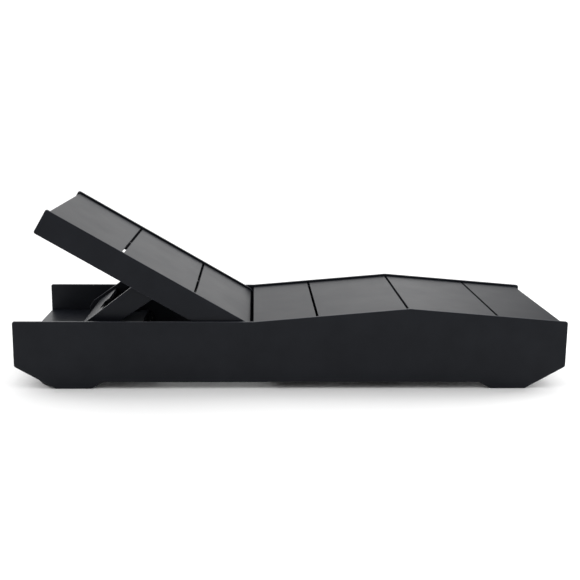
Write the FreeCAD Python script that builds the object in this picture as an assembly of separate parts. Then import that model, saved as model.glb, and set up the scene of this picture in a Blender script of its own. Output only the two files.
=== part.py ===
import FreeCAD, Part
import math
import os
from FreeCAD import Vector

# Adjustable sun lounger cut from half-inch polyethylene sheet.
# +X runs to the foot end, +Y to the user's left, +Z up. The origin is on the ground at the middle.
# All sizes are millimetres and degrees.

# ---- driving dimensions ----
LENGTH = 2000.0
WIDTH = 690.0
SHEET = 13.0              # thickness of every sheet part
EDGE = 3.2                # routed round-over on the free edges of panels
SLAT_EDGE = 1.5           # smaller round-over on slats and hidden boards
PLATE_CORNER = 8.0        # corner radius of the side panels and the backrest plates
END_ROUND = 12.0          # and at the ends of the panels, under the chamfer
FOOT_ROUND = 16.0
RAMP_ROUND = 24.0
OVERRUN = 1.0             # how far a cutter starts outside the face that it cuts
SIDE_FIT = 0.5            # boards are this much short of the panels at each end
SEAT_FIT = 0.3            # and ribs and stretchers this much below the slats

# side panel outline
DECK_HEIGHT = 248.6       # level top edge beside the backrest
RISE_X = -141.0           # where the top edge starts to rise under the thighs
PEAK_X = 422.3
PEAK_HEIGHT = 298.1
FOOT_END_HEIGHT = 250.4
CHAMFER_X = 854.5         # outer end of each foot flat
CHAMFER_HEIGHT = 82.5
FOOT_INNER_X = 727.0
FOOT_RAMP_X = 684.0
UNDERCUT = 24.0           # height of the bottom edge between the feet

# slats
SLAT_RECESS = 8.0
SLAT_GAP = 9.0
SEAT_BREAKS = (91.0, 421.0, 752.5)
SEAT_END_X = 985.0

# backrest, measured along it (s) from the pivot to the head, and square to it (h)
BACK_DEPTH = 96.6         # height of the backrest side plates
BACK_REACH = 814.0        # pivot to head end
BACK_SLAT_START = -15.2
BACK_SLAT_END = 804.0
BACK_BREAKS = (216.0, 512.0)
BACK_ANGLE = 30.0         # stored pose above flat
BACK_MAX = 45.0
SIDE_GAP = 4.0            # between the backrest plates and the side panels

# prop frame, measured from its hinge to its foot (xi) and square to it (eta)
PROP_HINGE_S = 356.0
PROP_HINGE_H = -20.0
PROP_REACH = 332.9        # hinge to foot rod
PROP_FOLD = 65.47         # angle between prop and backrest in the stored pose
PROP_RATIO = 2.14         # degrees the prop swings for each degree of the backrest
ROD_R = 10.0
ROD_WALL = 2.0            # the foot rod is a tube
ROD_CLEAR = 0.8           # rod above the rack's crests
NOTCH_DROP = 3.0
NOTCH_ANGLES = (22.5, 30.0, 37.5, 45.0)

# head shelf
SHELF_TOP = 140.3
SHELF_START = -998.0
SHELF_END = -590.0

# transport wheels
WHEEL_X = -866.0
WHEEL_Z = 61.0
WHEEL_R = 60.0
WHEEL_WIDTH = 30.0
TYRE_DEPTH = 14.0
AXLE_R = 6.0
AXLE_SEAT = 8.0           # depth of the blind hole in the side panel
RUNNING = 0.05            # radial clearance of every shaft in its hole

# fasteners
BOLT_R = 6.0
BUSH_R = 9.0
INSERT_R = 8.0
INSERT_DEPTH = 10.0
SCREW_R = 2.5
SCREW_HEAD_R = 4.75
SCREW_HEAD = 3.0
SCREW_BITE = 9.0          # how far a screw reaches into the second part
HEX_R = 1.9               # the screws' hexagon recess, across corners / 2
HEX_DEEP = 2.0
BOLT_HEX_R = 4.6
BOLT_HEX_DEEP = 3.5
CLEAT = 20.0              # square section of the cleats

# ---- worked-out positions ----
OUTER = WIDTH / 2
INNER = OUTER - SHEET
BACK_OUT = INNER - SIDE_GAP
BACK_IN = BACK_OUT - SHEET
BACK_HALF = BACK_DEPTH / 2
CLEAT_IN = BACK_IN - CLEAT
ARM_OUT = CLEAT_IN - 4.0
ARM_IN = ARM_OUT - SHEET
PIVOT = Vector(BACK_REACH - LENGTH / 2, 0, DECK_HEIGHT - BACK_HALF)
HINGE = PIVOT + Vector(-PROP_HINGE_S, 0, PROP_HINGE_H)
SLOPE_UP = math.atan2(PEAK_HEIGHT - DECK_HEIGHT, PEAK_X - RISE_X)
SLOPE_DOWN = math.atan2(FOOT_END_HEIGHT - PEAK_HEIGHT, LENGTH / 2 - PEAK_X)
SLAT_UNDER = SLAT_RECESS + SHEET
SHELF_UNDER = SHELF_TOP - SHEET
SIDES = (("right", -1), ("left", 1))
Y_AXIS = Vector(0, 1, 0)


def save(name, *solids):
    """Write one node: a single solid, or a compound of separate ones."""
    shape = solids[0] if len(solids) == 1 else Part.makeCompound(list(solids))
    shape.exportStep("parts/" + name + ".step")


def span(side, inner, outer):
    """The low and high Y of a layer between two distances from the middle, on one side."""
    return (inner, outer) if side > 0 else (-outer, -inner)


def outline(points):
    """A closed wire in the XZ plane through (x, z, corner radius)."""
    edges = []
    ends = []
    count = len(points)
    for i in range(count):
        x, z, radius = points[i]
        corner = Vector(x, 0, z)
        before = Vector(points[i - 1][0], 0, points[i - 1][1]) - corner
        after = Vector(points[(i + 1) % count][0], 0, points[(i + 1) % count][1]) - corner
        if radius == 0:
            ends.append((corner, corner, None))
            continue
        before.normalize()
        after.normalize()
        half = before.getAngle(after) / 2
        reach = radius / math.tan(half)
        middle = before + after
        middle.normalize()
        bulge = corner + middle * (radius / math.sin(half) - radius)
        ends.append((corner + before * reach, corner + after * reach, bulge))
    for i in range(count):
        start, end, bulge = ends[i]
        if bulge is not None:
            edges.append(Part.Arc(start, bulge, end).toShape())
        edges.append(Part.makeLine(end, ends[(i + 1) % count][0]))
    return Part.Wire(edges)


def plate(points, low, high, rounding):
    """Sheet cut to an outline, from Y low to high, with its face edges rounded over."""
    solid = Part.Face(outline(points)).extrude(Vector(0, high - low, 0))
    solid.translate(Vector(0, low, 0))
    if rounding == 0:
        return solid
    face_edges = []
    for edge in solid.Edges:
        if edge.BoundBox.YLength < 1e-6:
            face_edges.append(edge)
    return solid.makeFillet(rounding, face_edges)


def board(low, high, rounding=SLAT_EDGE):
    """A square-cut board between two corners."""
    size = [high[i] - low[i] for i in range(3)]
    solid = Part.makeBox(size[0], size[1], size[2], Vector(*low))
    if rounding == 0:
        return solid
    return solid.makeFillet(rounding, solid.Edges)


def rod(x, z, low, high, radius):
    """A round bar along Y."""
    return Part.makeCylinder(radius, high - low, Vector(x, low, z), Y_AXIS)


def ring(x, z, low, high, radius, bore):
    return rod(x, z, low, high, radius).cut(rod(x, z, low - OVERRUN, high + OVERRUN, bore))


def screw(seat, direction, length):
    """A pan-head screw with a hexagon recess; seat is the point under its head."""
    along = Vector(*direction)
    shank = Part.makeCylinder(SCREW_R, length, Vector(*seat), along)
    head = Part.makeCylinder(SCREW_HEAD_R, SCREW_HEAD, Vector(*seat), along * -1)
    top = Vector(*seat) - along * SCREW_HEAD
    crown = []
    for edge in head.Edges:
        if edge.BoundBox.DiagonalLength > 1 and edge.CenterOfMass.distanceToPoint(top) < 0.1:
            crown.append(edge)
    head = head.makeFillet(1.0, crown)
    side = Vector(0, 1, 0) if abs(along.y) < 0.5 else Vector(0, 0, 1)
    corners = []
    for i in range(7):
        turn = FreeCAD.Rotation(along, 60 * i)
        corners.append(top + turn.multVec(side) * HEX_R)
    socket = Part.Face(Part.makePolygon(corners)).extrude(along * HEX_DEEP)
    return shank.fuse(head).cut(socket)


def screw_hole(seat, direction, length):
    return Part.makeCylinder(SCREW_R, length, Vector(*seat), Vector(*direction))


def drilled(solid, holes):
    """The solid with only the holes that reach it cut out."""
    for hole in holes:
        if solid.BoundBox.intersect(hole.BoundBox):
            solid = solid.cut(hole)
    return solid


def on_back(shape):
    """Turn a backrest part from flat to its stored angle."""
    turned = shape.copy()
    turned.rotate(PIVOT, Y_AXIS, BACK_ANGLE)
    return turned


def on_prop(shape):
    """Fold a prop part out from the flat backrest, then raise both."""
    turned = shape.copy()
    turned.rotate(HINGE, Y_AXIS, -PROP_FOLD)
    return on_back(turned)


def deck_line(x):
    """Height of the side panel's top edge over the seat."""
    if x < PEAK_X:
        return DECK_HEIGHT + (x - RISE_X) * math.tan(SLOPE_UP)
    return PEAK_HEIGHT + (x - PEAK_X) * math.tan(SLOPE_DOWN)


def foot_rod_centre(angle):
    """Centre of the prop's foot rod with the backrest at an angle above flat."""
    back = math.radians(angle)
    prop = math.radians(PROP_FOLD + PROP_RATIO * (angle - BACK_ANGLE) - angle)
    x = PIVOT.x - PROP_HINGE_S * math.cos(back) + PROP_HINGE_H * math.sin(back)
    z = PIVOT.z + PROP_HINGE_S * math.sin(back) + PROP_HINGE_H * math.cos(back)
    return Vector(x - PROP_REACH * math.cos(prop), 0, z - PROP_REACH * math.sin(prop))


# ---- side panels, with blind holes for the pivot inserts and the axle ----
def side_panel(side, holes):
    half = LENGTH / 2
    points = [(-half, DECK_HEIGHT, PLATE_CORNER), (RISE_X, DECK_HEIGHT, 0), (PEAK_X, PEAK_HEIGHT, 0)]
    points += [(half, FOOT_END_HEIGHT, PLATE_CORNER), (half, CHAMFER_HEIGHT, END_ROUND)]
    points += [(CHAMFER_X, 0, PLATE_CORNER), (FOOT_INNER_X, 0, FOOT_ROUND)]
    points += [(FOOT_RAMP_X, UNDERCUT, RAMP_ROUND), (-FOOT_RAMP_X, UNDERCUT, RAMP_ROUND)]
    points += [(-FOOT_INNER_X, 0, FOOT_ROUND), (-CHAMFER_X, 0, PLATE_CORNER)]
    points.append((-half, CHAMFER_HEIGHT, END_ROUND))
    low, high = span(side, INNER, OUTER)
    panel = plate(points, low, high, EDGE)
    low, high = span(side, INNER - OVERRUN, INNER + INSERT_DEPTH)
    panel = panel.cut(rod(PIVOT.x, PIVOT.z, low, high, INSERT_R))
    low, high = span(side, INNER - OVERRUN, INNER + AXLE_SEAT)
    panel = panel.cut(rod(WHEEL_X, WHEEL_Z, low, high, AXLE_R + RUNNING))
    return drilled(panel, holes)


# ---- cleats screwed to the side panels, which carry the seat slats ----
CLEAT_START = -125.0
CLEAT_STOP = 960.0
CLEAT_FIT = 0.2           # below the slats, at the angle under the knees


def seat_cleat(side):
    points = []
    for x in (CLEAT_START, PEAK_X, CLEAT_STOP):
        points.append((x, deck_line(x) - SLAT_UNDER - CLEAT_FIT, 0))
    for x in (CLEAT_STOP, PEAK_X, CLEAT_START):
        points.append((x, deck_line(x) - SLAT_UNDER - CLEAT, 0))
    low, high = span(side, INNER - CLEAT, INNER)
    return plate(points, low, high, 0)


# ---- seat slats ----
def seat_slat(start, end):
    slope = SLOPE_UP if end < PEAK_X + SLAT_GAP else SLOPE_DOWN
    run = (end - start) / math.cos(slope)
    top = deck_line(start) - SLAT_RECESS
    edge = INNER - SIDE_FIT
    slat = board((start, -edge, top - SHEET), (start + run, edge, top))
    slat.rotate(Vector(start, 0, top), Y_AXIS, -math.degrees(slope))
    return slat


seat_edges = [RISE_X]
for gap in SEAT_BREAKS:
    seat_edges += [gap - SLAT_GAP / 2, gap + SLAT_GAP / 2]
seat_edges.append(SEAT_END_X)

# screws up through the cleats into the slats, and through the cleats into the panels
SLOPE_SLACK = 0.5         # lets a level screw head sit under a sloping cleat
SLAT_SCREW_INSET = 45.0   # from a slat's edge to its screws
CLEAT_SCREW_X = (-60.0, 110.0, 330.0, 520.0, 740.0, 905.0)
slat_screws = []
slat_holes = []
for i in range(0, len(seat_edges), 2):
    for x in (seat_edges[i] + SLAT_SCREW_INSET, seat_edges[i + 1] - SLAT_SCREW_INSET):
        for name, side in SIDES:
            seat = (x, side * (INNER - CLEAT / 2), deck_line(x) - SLAT_UNDER - CLEAT - SLOPE_SLACK)
            slat_screws.append(screw(seat, (0, 0, 1), CLEAT + SCREW_BITE))
            slat_holes.append(screw_hole(seat, (0, 0, 1), CLEAT + SCREW_BITE))

cleat_screws = []
cleat_holes = []
for x in CLEAT_SCREW_X:
    for name, side in SIDES:
        seat = (x, side * (INNER - CLEAT), deck_line(x) - SLAT_UNDER - CLEAT / 2)
        cleat_screws.append(screw(seat, (0, side, 0), CLEAT + SCREW_BITE))
        cleat_holes.append(screw_hole(seat, (0, side, 0), CLEAT + SCREW_BITE))

# ---- stretchers between the side panels, each with a corner cleat at both ends ----
# name, x of the head-side face, bottom, top, and the side of the board the cleats are on
STRETCHERS = (
    ("head", -985.0, 84.0, SHELF_UNDER, 1),
    ("shelf", SHELF_END - SHEET, 34.0, SHELF_UNDER, 1),
    ("pivot", -138.0 + SHEET, 34.0, deck_line(-125) - SLAT_UNDER - 2 * SEAT_FIT, 1),
    ("middle", 386.0, 34.0, deck_line(386) - SLAT_UNDER - 2 * SEAT_FIT, 1),
    ("foot", 965.0, 84.0, deck_line(978) - SLAT_UNDER - 2 * SEAT_FIT, -1),
)
CORNER = 18.0             # square section of the corner cleats
CORNER_LOW = 14.0         # lowest corner screw above the stretcher's bottom edge
CORNER_TOP = 34.0         # highest below its top edge
CORNER_MIDDLE = 12.0      # middle one below its middle
CROSS = 9.0               # height between a cleat's two crossing screws
SLATTED = ("middle", "foot", "pivot")    # the stretchers that run up to the seat slats
stretcher_screws = []
stretcher_holes = []
for name, x, bottom, top, facing in STRETCHERS:
    cleat_x = x + SHEET if facing > 0 else x - CORNER
    for side_name, side in SIDES:
        heights = (bottom + CORNER_LOW, (bottom + top) / 2 - CORNER_MIDDLE, top - CORNER_TOP)
        for z in heights[:1] if name == "head" else heights:
            seat = (cleat_x + CORNER / 2, side * (INNER - CORNER), z)
            stretcher_screws.append(screw(seat, (0, side, 0), CORNER + SCREW_BITE))
            stretcher_holes.append(screw_hole(seat, (0, side, 0), CORNER + SCREW_BITE))
            seat_x = cleat_x + CORNER if facing > 0 else cleat_x
            seat = (seat_x, side * (INNER - CORNER / 2), z + CROSS)
            stretcher_screws.append(screw(seat, (-facing, 0, 0), CORNER + SCREW_BITE))
            stretcher_holes.append(screw_hole(seat, (-facing, 0, 0), CORNER + SCREW_BITE))

# ---- notched racks on the shelf; their tops follow the path of the foot rod ----
RACK_IN = ARM_OUT + 6.5   # leaves the arms room to swing inside the racks
RACK_START = -833.0
RACK_END = -624.0
RACK_STEPS = (22.5, 26.25, 33.75, 41.25, BACK_MAX)
RACK_CORNER = 3.0
NOTCH_FIT = 0.4
RACK_SCREW_X = (-800.0, -748.0, -695.0, -643.0)
RACK_BITE = 7.0


def rack(side):
    crest = [foot_rod_centre(a) + Vector(0, 0, -ROD_R - ROD_CLEAR) for a in RACK_STEPS]
    points = [(RACK_START, SHELF_TOP, 0), (RACK_START, crest[0].z, RACK_CORNER)]
    points += [(p.x, p.z, 0) for p in crest[1:]]
    points += [(RACK_END, crest[-1].z, RACK_CORNER), (RACK_END, SHELF_TOP, 0)]
    low, high = span(side, RACK_IN, RACK_IN + SHEET)
    body = plate(points, low, high, 0)
    for angle in NOTCH_ANGLES:
        centre = foot_rod_centre(angle)
        notch = rod(centre.x, centre.z - NOTCH_DROP, low - OVERRUN, high + OVERRUN, ROD_R + NOTCH_FIT)
        body = body.cut(notch)
    return body


rack_screws = []
rack_holes = []
for x in RACK_SCREW_X:
    for name, side in SIDES:
        seat = (x, side * (RACK_IN + SHEET / 2), SHELF_UNDER)
        rack_screws.append(screw(seat, (0, 0, 1), SHEET + RACK_BITE))
        rack_holes.append(screw_hole(seat, (0, 0, 1), SHEET + RACK_BITE))

# ---- pivot hardware: shoulder bolt and washer on the panel, bush in the backrest plate ----
HEAD_GAP = 0.4            # between a bolt head and the plate that turns beside it
HEAD_R = 11.0
HEAD_DEEP = 6.0
HEAD_ROUND = 1.2
SHOULDER_R = 10.0
WASHER_R = 16.0


def pivot_bolt(x, z, side, start, reach, collar):
    """Shoulder bolt whose head is inboard of start and whose end is at reach.

    The collar is the stretch of a wider shoulder, from one distance to another, or None.
    """
    low, high = span(side, start - HEAD_GAP, reach)
    shaft = rod(x, z, low, high, BOLT_R)
    crown = start - HEAD_GAP - HEAD_DEEP
    low, high = span(side, crown, start - HEAD_GAP)
    head = rod(x, z, low, high, HEAD_R)
    rim = [e for e in head.Edges if abs(abs(e.CenterOfMass.y) - crown) < 0.1]
    head = head.makeFillet(HEAD_ROUND, rim)
    low, high = span(side, crown - OVERRUN, crown + BOLT_HEX_DEEP)
    corners = []
    for i in range(7):
        turn = math.radians(60 * i)
        corners.append(Vector(x + BOLT_HEX_R * math.cos(turn), low, z + BOLT_HEX_R * math.sin(turn)))
    socket = Part.Face(Part.makePolygon(corners)).extrude(Vector(0, high - low, 0))
    bolt = shaft.fuse(head).cut(socket)
    if collar is None:
        return bolt
    low, high = span(side, collar[0], collar[1])
    return bolt.fuse(rod(x, z, low, high, SHOULDER_R))


# ---- backrest ----
def back_side(side, holes):
    low, high = span(side, BACK_IN, BACK_OUT)
    head = PIVOT.x - BACK_REACH
    top = PIVOT.z + BACK_HALF
    bottom = PIVOT.z - BACK_HALF
    tail = PIVOT.x + BACK_HALF
    tail_round = BACK_HALF - 0.05     # a hair under half, so that a short straight stays between the arcs
    points = [(head, top, PLATE_CORNER), (tail, top, tail_round), (tail, bottom, tail_round)]
    points.append((head, bottom, PLATE_CORNER))
    body = plate(points, low, high, EDGE)
    body = body.cut(rod(PIVOT.x, PIVOT.z, low - OVERRUN, high + OVERRUN, BUSH_R))
    low, high = span(side, BACK_IN - OVERRUN, BACK_IN + INSERT_DEPTH)
    body = body.cut(rod(HINGE.x, HINGE.z, low, high, INSERT_R))
    return drilled(body, holes)


back_edges = [BACK_SLAT_START]
for gap in BACK_BREAKS:
    back_edges += [gap - SLAT_GAP / 2, gap + SLAT_GAP / 2]
back_edges.append(BACK_SLAT_END)
BACK_SLAT_TOP = PIVOT.z + BACK_HALF - SLAT_RECESS
BACK_SLAT_UNDER = BACK_SLAT_TOP - SHEET
BACK_CLEAT_S = (24.0, 796.0)
BACK_RIB_S = (6.0, 790.0)
BACK_RIB_DEPTH = 33.0
BACK_RIB_RELIEF = (570.0, 710.0, 18.0)   # start, end and depth left over the folded prop panel
RELIEF_RAMP = 10.0
BACK_SCREW_INSET = (50.0, 40.0)          # from a slat's foot-side and head-side edges
BACK_CLEAT_SCREW_S = (70.0, 250.0, 420.0, 600.0, 770.0)

back_screws = []
back_holes = []
for i in range(0, len(back_edges), 2):
    for s in (back_edges[i] + BACK_SCREW_INSET[0], back_edges[i + 1] - BACK_SCREW_INSET[1]):
        for name, side in SIDES:
            seat = (PIVOT.x - s, side * (BACK_IN - CLEAT / 2), BACK_SLAT_UNDER - CLEAT)
            back_screws.append(screw(seat, (0, 0, 1), CLEAT + SCREW_BITE))
            back_holes.append(screw_hole(seat, (0, 0, 1), CLEAT + SCREW_BITE))
        depth = BACK_RIB_DEPTH
        if BACK_RIB_RELIEF[0] < s < BACK_RIB_RELIEF[1]:
            depth = BACK_RIB_RELIEF[2]
        seat = (PIVOT.x - s, 0, BACK_SLAT_UNDER - depth)
        back_screws.append(screw(seat, (0, 0, 1), depth + SCREW_BITE))
        back_holes.append(screw_hole(seat, (0, 0, 1), depth + SCREW_BITE))


def back_rib(holes):
    """A rib on edge under the middle of the slats, shallower where the prop panel folds."""
    start, end, depth = BACK_RIB_RELIEF
    low = BACK_SLAT_UNDER - BACK_RIB_DEPTH
    points = [(PIVOT.x - BACK_RIB_S[1], BACK_SLAT_UNDER, 0), (PIVOT.x - BACK_RIB_S[0], BACK_SLAT_UNDER, 0)]
    points += [(PIVOT.x - BACK_RIB_S[0], low, 0), (PIVOT.x - start, low, 0)]
    points += [(PIVOT.x - start - RELIEF_RAMP, BACK_SLAT_UNDER - depth, 0)]
    points += [(PIVOT.x - end + RELIEF_RAMP, BACK_SLAT_UNDER - depth, 0)]
    points += [(PIVOT.x - end, low, 0), (PIVOT.x - BACK_RIB_S[1], low, 0)]
    return drilled(plate(points, -SHEET / 2, SHEET / 2, 0), holes)


back_cleat_screws = []
back_cleat_holes = []
for s in BACK_CLEAT_SCREW_S:
    for name, side in SIDES:
        seat = (PIVOT.x - s, side * CLEAT_IN, BACK_SLAT_UNDER - CLEAT / 2)
        back_cleat_screws.append(screw(seat, (0, side, 0), CLEAT + SCREW_BITE))
        back_cleat_holes.append(screw_hole(seat, (0, side, 0), CLEAT + SCREW_BITE))

# ---- prop frame ----
ARM_TOP = 41.0            # top edge of the arm above the line from hinge to foot rod
ARM_OUTLINE = ((-6, -33, 26), (-26, 12, 30), (4, 47, 12), (70, 47, 120), (230, ARM_TOP, 0),
               (350, ARM_TOP, 6), (377, 30, 4), (392, 18, 13), (328, -26, 10))
PROP_PANEL_XI = (241.0, 325.0)
PROP_PANEL_DROP = 12.0    # panel's face below the arms' top edges
GRIP_HALF = 72.0
GRIP_DEEP = 20.0
GRIP_ROUND = 12.0
PROP_EDGE = 2.0           # round-over on the arms
PANEL_SCREW_XI = (258.0, 308.0)
PANEL_BITE = 22.0         # panel screws run into the panel's end grain


def prop_arm(side, holes):
    world = [(HINGE.x - xi, HINGE.z + eta, radius) for xi, eta, radius in ARM_OUTLINE]
    low, high = span(side, ARM_IN, ARM_OUT)
    arm = plate(world, low, high, PROP_EDGE)
    arm = arm.cut(rod(HINGE.x, HINGE.z, low - OVERRUN, high + OVERRUN, BUSH_R))
    arm = arm.cut(rod(HINGE.x - PROP_REACH, HINGE.z, low - OVERRUN, high + OVERRUN, ROD_R))
    return drilled(arm, holes)


def prop_panel(holes):
    top = HINGE.z + ARM_TOP - PROP_PANEL_DROP
    start, end = PROP_PANEL_XI
    panel = board((HINGE.x - end, -ARM_IN, top - SHEET), (HINGE.x - start, ARM_IN, top))
    grip = Part.makeBox(2 * GRIP_DEEP, 2 * GRIP_HALF, 3 * SHEET,
                        Vector(HINGE.x - start - GRIP_DEEP, -GRIP_HALF, top - 2 * SHEET))
    corners = []
    for edge in grip.Edges:
        if edge.BoundBox.ZLength > SHEET and edge.CenterOfMass.x < HINGE.x - start:
            corners.append(edge)
    panel = panel.cut(grip.makeFillet(GRIP_ROUND, corners))
    return drilled(panel, holes)


panel_screws = []
panel_holes = []
for xi in PANEL_SCREW_XI:
    for name, side in SIDES:
        z = HINGE.z + ARM_TOP - PROP_PANEL_DROP - SHEET / 2
        seat = (HINGE.x - xi, side * ARM_OUT, z)
        panel_screws.append(screw(seat, (0, -side, 0), SHEET + PANEL_BITE))
        panel_holes.append(screw_hole(seat, (0, -side, 0), SHEET + PANEL_BITE))

# ---- wheels: a rubber tyre on a moulded hub, running on one axle through the base ----
HUB_R = WHEEL_R - TYRE_DEPTH
WHEEL_OUT = INNER - 4.0
WHEEL_IN = WHEEL_OUT - WHEEL_WIDTH
TYRE_ROUND = 5.0
GROOVE_Y = 6.0            # two grooves in the tread, each side of its middle
GROOVE_R = 1.6
GROOVE_RISE = 0.4         # groove's centre above the tread
HUB_INSET = 2.0           # hub's faces inside the tyre's
RIM = 5.0
BOSS_R = 13.0
WEB = 5.0
SPOKE = 4.0
SPOKES = 6
SPOKE_START = 11.0        # inside the boss
COLLAR_R = 11.0
COLLAR_WIDTH = 9.0
COLLAR_GAP = 0.5          # between a collar and the wheel


def wheel_tyre(side):
    low, high = span(side, WHEEL_IN, WHEEL_OUT)
    tyre = rod(WHEEL_X, WHEEL_Z, low, high, WHEEL_R)
    tyre = tyre.makeFillet(TYRE_ROUND, [e for e in tyre.Edges if e.BoundBox.YLength < 1e-6])
    tyre = tyre.cut(rod(WHEEL_X, WHEEL_Z, low - OVERRUN, high + OVERRUN, HUB_R))
    for offset in (-GROOVE_Y, GROOVE_Y):
        centre = Vector(WHEEL_X, (low + high) / 2 + offset, WHEEL_Z)
        tyre = tyre.cut(Part.makeTorus(WHEEL_R + GROOVE_RISE, GROOVE_R, centre, Y_AXIS))
    return tyre


def wheel_hub(side):
    low, high = span(side, WHEEL_IN + HUB_INSET, WHEEL_OUT - HUB_INSET)
    rim = ring(WHEEL_X, WHEEL_Z, low, high, HUB_R, HUB_R - RIM)
    boss = rod(WHEEL_X, WHEEL_Z, low, high, BOSS_R)
    middle = (low + high) / 2
    web = rod(WHEEL_X, WHEEL_Z, middle - WEB / 2, middle + WEB / 2, HUB_R - RIM + OVERRUN)
    hub = rim.fuse(boss).fuse(web)
    spoke_length = HUB_R - RIM + 2 - SPOKE_START
    for i in range(SPOKES):
        corner = Vector(WHEEL_X + SPOKE_START, low + HUB_INSET, WHEEL_Z - SPOKE / 2)
        spoke = Part.makeBox(spoke_length, high - low - 2 * HUB_INSET, SPOKE, corner)
        spoke.rotate(Vector(WHEEL_X, 0, WHEEL_Z), Y_AXIS, 360 / SPOKES * i)
        hub = hub.fuse(spoke)
    return hub.removeSplitter().cut(rod(WHEEL_X, WHEEL_Z, low - OVERRUN, high + OVERRUN, AXLE_R + RUNNING))


# ================= write every node =================
os.makedirs("parts", exist_ok=True)

base_holes = cleat_holes + stretcher_holes
for name, side in SIDES:
    save("side_panel_" + name, side_panel(side, base_holes))
    save("seat_cleat_" + name, drilled(seat_cleat(side), slat_holes + cleat_holes))

for i in range(0, len(seat_edges), 2):
    slat = drilled(seat_slat(seat_edges[i], seat_edges[i + 1]), slat_holes)
    save("seat_slat_" + str(i // 2 + 1), slat)

CLEAT_ROOM = CLEAT + 1.0  # height of the corner cut away for a seat cleat
for name, x, bottom, top, facing in STRETCHERS:
    edge = INNER - SIDE_FIT
    stretcher = board((x, -edge, bottom), (x + SHEET, edge, top), 0)
    for side_name, side in SIDES:
        low, high = span(side, INNER - CLEAT - SIDE_FIT, INNER)
        if name in SLATTED:
            corner = Vector(x - SHEET, low, top - CLEAT_ROOM)
            room = Part.makeBox(3 * SHEET, high - low, 2 * CLEAT_ROOM, corner)
            stretcher = stretcher.cut(room)
    save(name + "_stretcher", drilled(stretcher, stretcher_holes))
    cleat_x = x + SHEET if facing > 0 else x - CORNER
    ceiling = top - CLEAT_ROOM - 3 if name in SLATTED else top
    corners = []
    for side_name, side in SIDES:
        low, high = span(side, INNER - CORNER, INNER)
        block = board((cleat_x, low, bottom + 2), (cleat_x + CORNER, high, ceiling), 0)
        corners.append(drilled(block, stretcher_holes))
    save(name + "_corner_cleats", *corners)

RIB_DEPTH = 70.0
DRAIN_DEPTH = 25.0        # notches under the gaps between slats, so that rain drops clear
rib_ends = (("seat_rib_head", STRETCHERS[2][1] + SHEET, STRETCHERS[3][1]),
            ("seat_rib_foot", STRETCHERS[3][1] + SHEET, STRETCHERS[4][1]))
for name, start, end in rib_ends:
    stops = [start] + [x for x in (PEAK_X,) if start < x < end] + [end]
    points = [(x, deck_line(x) - SLAT_UNDER - SEAT_FIT, 0) for x in stops]
    points += [(x, deck_line(x) - SLAT_UNDER - RIB_DEPTH, 0) for x in reversed(stops)]
    rib = plate(points, -SHEET / 2, SHEET / 2, 0)
    for gap in SEAT_BREAKS:
        drain = Part.makeBox(2 * SLAT_GAP, 2 * SHEET, 2 * DRAIN_DEPTH,
                             Vector(gap - SLAT_GAP, -SHEET, deck_line(gap) - SLAT_UNDER - DRAIN_DEPTH))
        rib = rib.cut(drain)
    save(name, rib)

PAD_X = (-836.0, -782.0)
PAD_WIDTH = 17.0
PAD_GAP = 0.5             # below the lowered backrest
SHELF_CLEAT_X = (-795.0, SHELF_END - SHEET - 1)
edge = INNER - SIDE_FIT
shelf = board((SHELF_START, -edge, SHELF_UNDER), (SHELF_END, edge, SHELF_TOP))
save("head_shelf", drilled(shelf, rack_holes))
for name, side in SIDES:
    save("prop_rack_" + name, drilled(rack(side), rack_holes))
    low, high = span(side, INNER - 1 - PAD_WIDTH, INNER - 1)
    pad = board((PAD_X[0], low, SHELF_TOP), (PAD_X[1], high, PIVOT.z - BACK_HALF - PAD_GAP), 2)
    save("rest_pad_" + name, pad)
    low, high = span(side, INNER - CLEAT, INNER)
    cleat = board((SHELF_CLEAT_X[0], low, SHELF_UNDER - CLEAT), (SHELF_CLEAT_X[1], high, SHELF_UNDER), 0)
    save("shelf_cleat_" + name, cleat)

pivot_inserts = []
pivot_bolts = []
pivot_washers = []
pivot_bushes = []
for name, side in SIDES:
    low, high = span(side, INNER, INNER + INSERT_DEPTH)
    pivot_inserts.append(ring(PIVOT.x, PIVOT.z, low, high, INSERT_R, BOLT_R))
    pivot_bolts.append(pivot_bolt(PIVOT.x, PIVOT.z, side, BACK_IN, INNER + INSERT_DEPTH - 1, None))
    low, high = span(side, BACK_OUT + HEAD_GAP, INNER)
    pivot_washers.append(ring(PIVOT.x, PIVOT.z, low, high, WASHER_R, BOLT_R + RUNNING))
    low, high = span(side, BACK_IN, BACK_OUT)
    pivot_bushes.append(on_back(ring(PIVOT.x, PIVOT.z, low, high, BUSH_R, BOLT_R + RUNNING)))
save("pivot_inserts", *pivot_inserts)
save("pivot_bolts", *pivot_bolts)
save("pivot_washers", *pivot_washers)
save("pivot_bushes", *pivot_bushes)

save("seat_slat_screws", *slat_screws)
save("seat_cleat_screws", *cleat_screws)
save("stretcher_screws", *stretcher_screws)
save("rack_screws", *rack_screws)

for name, side in SIDES:
    save("back_side_" + name, on_back(back_side(side, back_cleat_holes)))
    low, high = span(side, CLEAT_IN, BACK_IN)
    cleat = board((PIVOT.x - BACK_CLEAT_S[1], low, BACK_SLAT_UNDER - CLEAT),
                  (PIVOT.x - BACK_CLEAT_S[0], high, BACK_SLAT_UNDER), 0)
    save("back_cleat_" + name, on_back(drilled(cleat, back_holes + back_cleat_holes)))
for i in range(0, len(back_edges), 2):
    edge = BACK_IN - SIDE_FIT
    slat = board((PIVOT.x - back_edges[i + 1], -edge, BACK_SLAT_UNDER),
                 (PIVOT.x - back_edges[i], edge, BACK_SLAT_TOP))
    save("back_slat_" + str(i // 2 + 1), on_back(drilled(slat, back_holes)))
save("back_rib", on_back(back_rib(back_holes)))
save("back_slat_screws", *[on_back(s) for s in back_screws])
save("back_cleat_screws", *[on_back(s) for s in back_cleat_screws])

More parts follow.
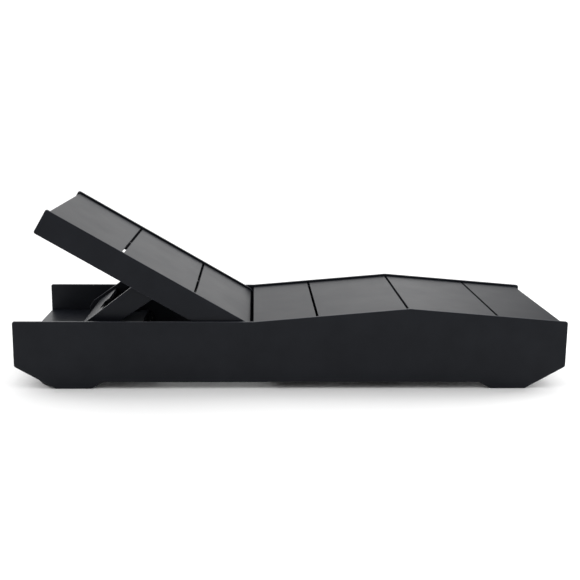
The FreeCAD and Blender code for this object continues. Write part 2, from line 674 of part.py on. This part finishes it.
prop_inserts = []
prop_bolts = []
prop_bushes = []
for name, side in SIDES:
    low, high = span(side, BACK_IN, BACK_IN + INSERT_DEPTH)
    prop_inserts.append(on_back(ring(HINGE.x, HINGE.z, low, high, INSERT_R, BOLT_R)))
    collar = (ARM_OUT + HEAD_GAP, BACK_IN)
    bolt = pivot_bolt(HINGE.x, HINGE.z, side, ARM_IN, BACK_IN + INSERT_DEPTH - 1, collar)
    prop_bolts.append(on_back(bolt))
    low, high = span(side, ARM_IN, ARM_OUT)
    prop_bushes.append(on_prop(ring(HINGE.x, HINGE.z, low, high, BUSH_R, BOLT_R + RUNNING)))
    save("prop_arm_" + name, on_prop(prop_arm(side, panel_holes)))
save("prop_inserts", *prop_inserts)
save("prop_bolts", *prop_bolts)
save("prop_bushes", *prop_bushes)
save("prop_panel", on_prop(prop_panel(panel_holes)))
save("prop_panel_screws", *[on_prop(s) for s in panel_screws])
rod_end = RACK_IN + SHEET + 1.5
foot_rod = ring(HINGE.x - PROP_REACH, HINGE.z, -rod_end, rod_end, ROD_R, ROD_R - ROD_WALL)
save("prop_foot_rod", on_prop(foot_rod))

save("wheel_axle", rod(WHEEL_X, WHEEL_Z, -INNER - AXLE_SEAT, INNER + AXLE_SEAT, AXLE_R))
collars = []
for name, side in SIDES:
    save("wheel_tyre_" + name, wheel_tyre(side))
    save("wheel_hub_" + name, wheel_hub(side))
    low, high = span(side, WHEEL_IN - COLLAR_GAP - COLLAR_WIDTH, WHEEL_IN - COLLAR_GAP)
    collars.append(ring(WHEEL_X, WHEEL_Z, low, high, COLLAR_R, AXLE_R))
    low, high = span(side, WHEEL_OUT + COLLAR_GAP, INNER - 0.2)
    collars.append(ring(WHEEL_X, WHEEL_Z, low, high, COLLAR_R - 1, AXLE_R))
save("axle_collars", *collars)
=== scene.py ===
import math

import bmesh
import bpy
from mathutils import Matrix, Vector


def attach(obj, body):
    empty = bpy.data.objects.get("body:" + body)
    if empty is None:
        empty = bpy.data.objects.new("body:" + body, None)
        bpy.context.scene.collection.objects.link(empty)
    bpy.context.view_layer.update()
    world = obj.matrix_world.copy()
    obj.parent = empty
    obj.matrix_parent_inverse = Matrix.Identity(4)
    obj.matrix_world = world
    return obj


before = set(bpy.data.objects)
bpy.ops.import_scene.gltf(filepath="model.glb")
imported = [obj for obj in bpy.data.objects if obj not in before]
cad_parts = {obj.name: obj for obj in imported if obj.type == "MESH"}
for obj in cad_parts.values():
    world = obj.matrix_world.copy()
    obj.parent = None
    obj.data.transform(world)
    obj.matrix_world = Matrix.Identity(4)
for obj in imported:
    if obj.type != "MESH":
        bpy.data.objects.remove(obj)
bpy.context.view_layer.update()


# ---- Side panels ----
# Two long panels routed from half-inch polyethylene sheet that is charcoal all through. They are
# rounded over along every edge and stand on a flat at each end. The sheet has a satin grain.
def linear(hex_colour):
    """An sRGB hex value as the linear colour that a shader takes."""
    channels = []
    for i in (1, 3, 5):
        value = int(hex_colour[i:i + 2], 16) / 255
        channels.append(value / 12.92 if value <= 0.04045 else ((value + 0.055) / 1.055) ** 2.4)
    return (*channels, 1.0)


def add(material, kind, settings=None, links=None):
    """Add a node, set its properties or input values, and link inputs from (node, output)."""
    node = material.node_tree.nodes.new(kind)
    for name, value in (settings or {}).items():
        if isinstance(name, str) and hasattr(node, name):
            setattr(node, name, value)
        else:
            node.inputs[name].default_value = value
    for name, (source, output) in (links or {}).items():
        material.node_tree.links.new(source.outputs[output], node.inputs[name])
    return node


def new_material(name):
    material = bpy.data.materials.new(name)
    material.use_nodes = True
    material.node_tree.nodes.clear()
    return material


def two_tone(material, pattern, dark, light, low=0.35, high=0.65):
    """A ramp from a dark to a light tone of one colour, over part of a pattern's range."""
    ramp = add(material, "ShaderNodeValToRGB", links={"Fac": (pattern, 0)})
    ramp.color_ramp.elements[0].position = low
    ramp.color_ramp.elements[0].color = linear(dark)
    ramp.color_ramp.elements[1].position = high
    ramp.color_ramp.elements[1].color = linear(light)
    return ramp


def coat(material, inputs, tone, gloss, relief):
    """Join a tone, a gloss and a relief in the surface that ends every material."""
    surface = add(material, "ShaderNodeBsdfPrincipled", inputs,
                  {"Base Color": (tone, "Color"), "Roughness": (gloss, "Result"),
                   "Normal": (relief, "Normal")})
    add(material, "ShaderNodeOutputMaterial", links={"Surface": (surface, "BSDF")})


def cover(names, material):
    """Give CAD nodes a finished material in place of the plain one they arrive with."""
    for name in names:
        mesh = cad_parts[name].data
        mesh.materials.clear()
        mesh.materials.append(material)


MM = 0.001                # frame units are metres
PER_M = 1000.0            # a pattern's scale is PER_M over its size in mm
SHEET_DARK = "#16181D"
SHEET_LIGHT = "#1A1C21"
CLOUD_MM = 110.0          # faint cloudy patches where the resin was blended
GRAIN_MM = 2.5            # the real grain is about 1 mm, too fine to show
LAY_MM = (60.0, 1.6)      # length and width of the faint lines that the rollers draw
EDGE_HIGHLIGHT = "#2E3035"   # painted highlight: the edges are painted a shade lighter than the sheet's faces, for the light that the rounded-over edges catch
FACE_TURN = 0.98          # how far a normal lies along Y where the sheet's face ends, and where the painted edge highlight is full
EDGE_TURN = 0.7           # and where the tone of the routed edge is full


def polyethylene_sheet(name, lay, on_edge):
    """Charcoal sheet. lay is the axis that the roller lines run along. on_edge means that the
    sheet's faces look along Y, and the other faces, the rounded edges, get a painted highlight."""
    material = new_material(name)
    place = add(material, "ShaderNodeTexCoord")
    cloud = add(material, "ShaderNodeTexNoise", {"Scale": PER_M / CLOUD_MM, "Detail": 3.0},
                {"Vector": (place, "Object")})
    tone = two_tone(material, cloud, SHEET_DARK, SHEET_LIGHT)
    grain = add(material, "ShaderNodeTexNoise", {"Scale": PER_M / GRAIN_MM, "Detail": 2.0},
                {"Vector": (place, "Object")})
    line_length, line_width = LAY_MM
    stretch = [PER_M / line_width] * 3
    stretch["XYZ".index(lay)] = PER_M / line_length
    along = add(material, "ShaderNodeMapping", {"Scale": stretch}, {"Vector": (place, "Object")})
    lines = add(material, "ShaderNodeTexNoise", {"Scale": 1.0, "Detail": 1.0},
                {"Vector": (along, 0)})
    relief = add(material, "ShaderNodeBump", {"Strength": 0.15, "Distance": 0.3 * MM},
                 {"Height": (grain, "Fac")})
    drawn = add(material, "ShaderNodeBump", {"Strength": 0.05, "Distance": 0.2 * MM},
                {"Height": (lines, "Fac"), "Normal": (relief, "Normal")})
    gloss = add(material, "ShaderNodeMapRange", {"To Min": 0.32, "To Max": 0.40},
                {"Value": (cloud, "Fac")})
    if on_edge:
        # Painted highlight: every face that does not look along Y, the rounded edges and the narrow
        # faces, is mixed toward a lighter tone.
        geometry = add(material, "ShaderNodeNewGeometry")
        facing = add(material, "ShaderNodeSeparateXYZ", links={"Vector": (geometry, "Normal")})
        across = add(material, "ShaderNodeMath", {"operation": "ABSOLUTE"}, {0: (facing, "Y")})
        edge_highlight = add(material, "ShaderNodeMapRange", {"From Min": FACE_TURN, "From Max": EDGE_TURN},
                     {"Value": (across, 0)})
        tone = add(material, "ShaderNodeMixRGB", {"Color2": linear(EDGE_HIGHLIGHT)},
                   {"Fac": (edge_highlight, "Result"), "Color1": (tone, "Color")})
    coat(material, {"IOR": 1.5, "Specular IOR Level": 0.12}, tone, gloss, drawn)
    return material


panel_sheet = polyethylene_sheet("charcoal_polyethylene_panel", "X", True)
cover(["side_panel_left", "side_panel_right"], panel_sheet)

# ---- Stretchers, cleats and ribs ----
# The hidden frame between the panels: boards on edge with square cleats in their corners, and two
# notched ribs under the seat. All are cut from the same sheet, with its lines along each piece.
cross_sheet = polyethylene_sheet("charcoal_polyethylene_board", "Y", False)
frame_boards = []
for name in ("head", "shelf", "pivot", "middle", "foot"):
    frame_boards += [name + "_stretcher", name + "_corner_cleats"]
cover(frame_boards, cross_sheet)
cover(["seat_cleat_left", "seat_cleat_right", "shelf_cleat_left", "shelf_cleat_right"], panel_sheet)
cover(["seat_rib_head", "seat_rib_foot"], panel_sheet)

# ---- Seat slats ----
# Four wide slats across the seat, set a little below the panels' top edges with a drainage gap
# between each two. They rise to the knees and fall to the foot. The rollers' lay runs along them.
cover(["seat_slat_1", "seat_slat_2", "seat_slat_3", "seat_slat_4"], cross_sheet)

# ---- Head shelf and racks ----
# A board under the head end carries two notched racks of the same sheet, screwed from below. The
# prop's foot rod drops into their notches. Two rubber pads stop the lowered backrest.
cover(["head_shelf"], cross_sheet)
cover(["prop_rack_left", "prop_rack_right"], panel_sheet)

RUBBER_DARK = "#161617"
RUBBER_LIGHT = "#222223"  # a trace of dust in the surface
RUBBER_GRAIN_MM = 1.5
DUST_PER_M = 60.0         # patches of dust about 17 mm across
rubber = new_material("black_moulded_rubber")
place = add(rubber, "ShaderNodeTexCoord")
dust = add(rubber, "ShaderNodeTexNoise", {"Scale": DUST_PER_M, "Detail": 4.0},
           {"Vector": (place, "Object")})
tone = two_tone(rubber, dust, RUBBER_DARK, RUBBER_LIGHT, low=0.4, high=0.7)
grain = add(rubber, "ShaderNodeTexNoise", {"Scale": PER_M / RUBBER_GRAIN_MM},
            {"Vector": (place, "Object")})
relief = add(rubber, "ShaderNodeBump", {"Strength": 0.25, "Distance": 0.4 * MM},
             {"Height": (grain, "Fac")})
gloss = add(rubber, "ShaderNodeMapRange", {"To Min": 0.65, "To Max": 0.85},
            {"Value": (dust, "Fac")})
coat(rubber, {"IOR": 1.52, "Specular IOR Level": 0.3}, tone, gloss, relief)
cover(["rest_pad_left", "rest_pad_right"], rubber)

# ---- Transport wheels ----
# Rubber tyres with two grooves on spoked hubs of black moulded nylon, turning on one steel axle
# behind the head end. Collars hold them. The nylon has the fine texture of its mould.
cover(["wheel_tyre_left", "wheel_tyre_right"], rubber)

NYLON_DARK = "#1C1C1F"
NYLON_LIGHT = "#27272A"
MOULD_MM = 1.2
FLOW_PER_M = 45.0         # flow marks about 22 mm across
nylon = new_material("black_moulded_nylon")
place = add(nylon, "ShaderNodeTexCoord")
flow = add(nylon, "ShaderNodeTexNoise", {"Scale": FLOW_PER_M, "Detail": 2.0, "Distortion": 0.6},
           {"Vector": (place, "Object")})
tone = two_tone(nylon, flow, NYLON_DARK, NYLON_LIGHT, low=0.3, high=0.7)
pits = add(nylon, "ShaderNodeTexVoronoi", {"Scale": PER_M / MOULD_MM},
           {"Vector": (place, "Object")})
relief = add(nylon, "ShaderNodeBump", {"Strength": 0.15, "Distance": 0.2 * MM},
             {"Height": (pits, "Distance")})
gloss = add(nylon, "ShaderNodeMapRange", {"To Min": 0.42, "To Max": 0.55}, {"Value": (flow, "Fac")})
coat(nylon, {"IOR": 1.53, "Specular IOR Level": 0.4}, tone, gloss, relief)
cover(["wheel_hub_left", "wheel_hub_right"], nylon)

STEEL_DARK = "#5E5E5D"
STEEL_LIGHT = "#7C7C7A"
STAIN_MM = 12.5
TURNED_MM = 0.9           # real turning marks are about 0.2 mm apart
RING_MM = 25.0            # how far one mark runs before it changes


def turning_marks(material, place):
    """Fine rings round the Y axis, which every turned part here lies along."""
    rings = add(material, "ShaderNodeMapping",
                {"Scale": (PER_M / RING_MM, PER_M / TURNED_MM, PER_M / RING_MM)},
                {"Vector": (place, "Object")})
    return add(material, "ShaderNodeTexNoise", {"Scale": 1.0}, {"Vector": (rings, 0)})


stainless = new_material("dull_stainless_steel")
place = add(stainless, "ShaderNodeTexCoord")
stain = add(stainless, "ShaderNodeTexNoise", {"Scale": PER_M / STAIN_MM, "Detail": 3.0},
            {"Vector": (place, "Object")})
tone = two_tone(stainless, stain, STEEL_DARK, STEEL_LIGHT)
turned = turning_marks(stainless, place)
relief = add(stainless, "ShaderNodeBump", {"Strength": 0.1, "Distance": 0.1 * MM},
             {"Height": (turned, "Fac")})
gloss = add(stainless, "ShaderNodeMapRange", {"To Min": 0.38, "To Max": 0.52},
            {"Value": (turned, "Fac")})
coat(stainless, {"Metallic": 1.0}, tone, gloss, relief)
cover(["wheel_axle", "axle_collars"], stainless)

# ---- Backrest pivots ----
# A shoulder bolt on each side runs into a threaded insert in the panel, and the backrest turns on
# it in an acetal bush behind an acetal washer. The acetal is turned, so it has fine rings.
ACETAL_DARK = "#18181A"
ACETAL_LIGHT = "#212124"
SHADE_PER_M = 70.0        # patches about 14 mm across
acetal = new_material("black_turned_acetal")
place = add(acetal, "ShaderNodeTexCoord")
shade = add(acetal, "ShaderNodeTexNoise", {"Scale": SHADE_PER_M}, {"Vector": (place, "Object")})
tone = two_tone(acetal, shade, ACETAL_DARK, ACETAL_LIGHT)
turned = turning_marks(acetal, place)
relief = add(acetal, "ShaderNodeBump", {"Strength": 0.12, "Distance": 0.1 * MM},
             {"Height": (turned, "Fac")})
gloss = add(acetal, "ShaderNodeMapRange", {"To Min": 0.3, "To Max": 0.4},
            {"Value": (turned, "Fac")})
coat(acetal, {"IOR": 1.48, "Specular IOR Level": 0.4}, tone, gloss, relief)
cover(["pivot_bushes", "pivot_washers", "prop_bushes"], acetal)
cover(["pivot_bolts", "pivot_inserts", "prop_bolts", "prop_inserts"], stainless)

# ---- Backrest ----
# Two side plates with a round tail at the pivot, three wide slats on cleats between them, and a
# rib on edge under the slats' middle. All of it is the same sheet, screwed from below.
cover(["back_side_left", "back_side_right", "back_rib"], panel_sheet)
cover(["back_cleat_left", "back_cleat_right"], panel_sheet)
cover(["back_slat_1", "back_slat_2", "back_slat_3"], cross_sheet)

# ---- Prop frame ----
# Two bent arms joined by a panel with a hand grip and by a stainless tube at the foot, which drops
# into the racks. A moulded polyethylene plug closes each end of the tube.
cover(["prop_arm_left", "prop_arm_right"], panel_sheet)
cover(["prop_panel"], cross_sheet)
cover(["prop_foot_rod"], stainless)

# radius and distance out of the tube's end in mm, from the middle of the cap to the stem's end
PLUG_PROFILE = ((0.0, 2.4), (6.5, 2.2), (9.0, 1.5), (9.9, 0.6), (9.9, 0.0),
                (7.9, 0.0), (7.9, -12.0), (0.0, -12.0))
PLUG_STEPS = 40
WELD_MM = 0.01            # points closer than this are one
foot_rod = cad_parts["prop_foot_rod"].data
rod_points = [vertex.co for vertex in foot_rod.vertices]
rod_low = Vector([min(point[i] for point in rod_points) for i in range(3)])
rod_high = Vector([max(point[i] for point in rod_points) for i in range(3)])
for name, end in (("foot_rod_plug_right", -1), ("foot_rod_plug_left", 1)):
    plug = bmesh.new()
    corners = [plug.verts.new((0.0, out * MM, radius * MM)) for radius, out in PLUG_PROFILE]
    for i in range(1, len(corners)):
        plug.edges.new((corners[i - 1], corners[i]))
    bmesh.ops.spin(plug, geom=plug.verts[:] + plug.edges[:], cent=(0, 0, 0), axis=(0, 1, 0),
                   angle=2 * math.pi, steps=PLUG_STEPS, use_merge=True)
    bmesh.ops.remove_doubles(plug, verts=plug.verts[:], dist=WELD_MM * MM)
    bmesh.ops.scale(plug, vec=(1, end, 1), verts=plug.verts[:])
    middle = (rod_low + rod_high) / 2
    middle.y = rod_high.y if end > 0 else rod_low.y
    bmesh.ops.translate(plug, vec=middle, verts=plug.verts[:])
    bmesh.ops.recalc_face_normals(plug, faces=plug.faces[:])
    plug_mesh = bpy.data.meshes.new(name)
    plug.to_mesh(plug_mesh)
    plug.free()
    plug_mesh.materials.append(nylon)
    for face in plug_mesh.polygons:
        face.use_smooth = True
    plug_piece = bpy.data.objects.new(name, plug_mesh)
    bpy.context.scene.collection.objects.link(plug_piece)
    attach(plug_piece, "prop_frame")

# ---- Screws ----
# Pan-head screws with a hexagon recess, all of dull stainless steel, driven from below or from
# inside so that none shows on the slats or on the panels' outer faces.
cover([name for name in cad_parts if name.endswith("_screws")], stainless)

# ---- Floor and light ----
# A white studio floor under a broad overhead softbox, with a small one beyond each end. The
# surround is white above, behind and at both ends, and dims on the side of the viewer.
FLOOR_HALF = 30.0         # metres, so that its edge is far off
FLOOR_WHITE = "#FAFAFA"
BACKDROP = 1.2            # what is seen behind the floor, full white
floor_mesh = bpy.data.meshes.new("floor")
ground = bmesh.new()
bmesh.ops.create_grid(ground, x_segments=1, y_segments=1, size=FLOOR_HALF)
ground.to_mesh(floor_mesh)
ground.free()
floor = bpy.data.objects.new("floor", floor_mesh)
bpy.context.scene.collection.objects.link(floor)
white = new_material("white_floor")
paint = add(white, "ShaderNodeBsdfPrincipled",
            {"Base Color": linear(FLOOR_WHITE), "Roughness": 1.0, "Specular IOR Level": 0.0})
add(white, "ShaderNodeOutputMaterial", links={"Surface": (paint, "BSDF")})
floor_mesh.materials.append(white)

# name, place, point that it is turned to, width and depth, all in metres, and watts
LIGHTS = (("overhead_softbox", (0.2, 1.2, 2.4), (0.2, 1.2, 0.0), 4.0, 2.0, 9.0),
          ("foot_end_softbox", (1.7, 0.0, 0.6), (1.1, -0.3, 0.0), 0.5, 0.5, 4.5),
          ("head_end_softbox", (-1.7, 0.0, 0.6), (-1.1, -0.3, 0.0), 0.5, 0.5, 1.5))
for name, spot, target, width, depth, watts in LIGHTS:
    light_data = bpy.data.lights.new(name, "AREA")
    light_data.shape = "RECTANGLE"
    light_data.size = width
    light_data.size_y = depth
    light_data.energy = watts
    light = bpy.data.objects.new(name, light_data)
    light.location = spot
    light.rotation_euler = (Vector(target) - Vector(spot)).to_track_quat("-Z", "Y").to_euler()
    light.visible_camera = False
    bpy.context.scene.collection.objects.link(light)

world = bpy.data.worlds.new("studio")
world.use_nodes = True
bpy.context.scene.world = world
world.node_tree.nodes.clear()
direction = add(world, "ShaderNodeTexCoord")
split = add(world, "ShaderNodeSeparateXYZ", links={"Vector": (direction, "Generated")})


def fade(axis, start, end, first, last):
    """Light that goes from first to last while one axis of the direction goes from start to end."""
    return add(world, "ShaderNodeMapRange",
               {"From Min": start, "From Max": end, "To Min": first, "To Max": last},
               {"Value": (split, axis)})


def combine(operation, first, second):
    return add(world, "ShaderNodeMath", {"operation": operation}, {0: (first, 0), 1: (second, 0)})


# each fade: axis of the direction, where it starts and ends, and the light's strength at each
behind = fade("Y", -0.6, 0.5, 0.36, 1.37)
for change in (("X", 0.19, 0.36, 1.1, 0.1),       # falls off towards the foot end
               ("X", 0.0, 0.1, 0.68, 1.0),        # lower where the head slat mirrors it
               ("X", -0.3, -0.08, 1.9, 1.0)):     # rises again towards the head end
    behind = combine("MULTIPLY", behind, fade(*change))
above = fade("Z", 0.2, 0.9, 0.0, 1.35)
head_end = fade("X", -0.5, -0.8, 0.0, 3.2)
foot_end = fade("X", 0.5, 0.8, 0.0, 2.6)
away_from_viewer = fade("Y", -0.2, 0.4, 0.1, 1.0)
ends = combine("MULTIPLY", combine("MAXIMUM", head_end, foot_end), away_from_viewer)
glow = combine("MAXIMUM", combine("MAXIMUM", behind, above), ends)
rays = add(world, "ShaderNodeLightPath")
surround = add(world, "ShaderNodeBackground", {"Color": (1, 1, 1, 1)}, {"Strength": (glow, 0)})
backdrop = add(world, "ShaderNodeBackground", {"Color": (1, 1, 1, 1), "Strength": BACKDROP})
both = add(world, "ShaderNodeMixShader",
           links={0: (rays, "Is Camera Ray"), 1: (surround, 0), 2: (backdrop, 0)})
add(world, "ShaderNodeOutputWorld", links={"Surface": (both, 0)})
bpy.context.scene.view_settings.view_transform = "Standard"

# ---- Camera ----
# The lounger is seen from the user's right, from about a metre up and opposite its middle, with
# a short telephoto lens.
CAMERA_PLACE = Vector((-0.1377, -3.6923, 1.0575))
CAMERA_PITCH = math.radians(11.652)
CAMERA_YAW = math.radians(2.159)
CAMERA_ROLL = math.radians(0.577)
SENSOR_MM = 36.0
LENS_MM = 59.58
camera_data = bpy.data.cameras.new("camera")
camera_data.sensor_width = SENSOR_MM
camera_data.lens = LENS_MM
camera = bpy.data.objects.new("camera", camera_data)
bpy.context.scene.collection.objects.link(camera)
aim = Matrix.Rotation(-CAMERA_YAW, 4, "Z") @ Matrix.Rotation(math.pi / 2 - CAMERA_PITCH, 4, "X")
camera.matrix_world = Matrix.Translation(CAMERA_PLACE) @ aim @ Matrix.Rotation(CAMERA_ROLL, 4, "Z")
bpy.context.scene.camera = camera
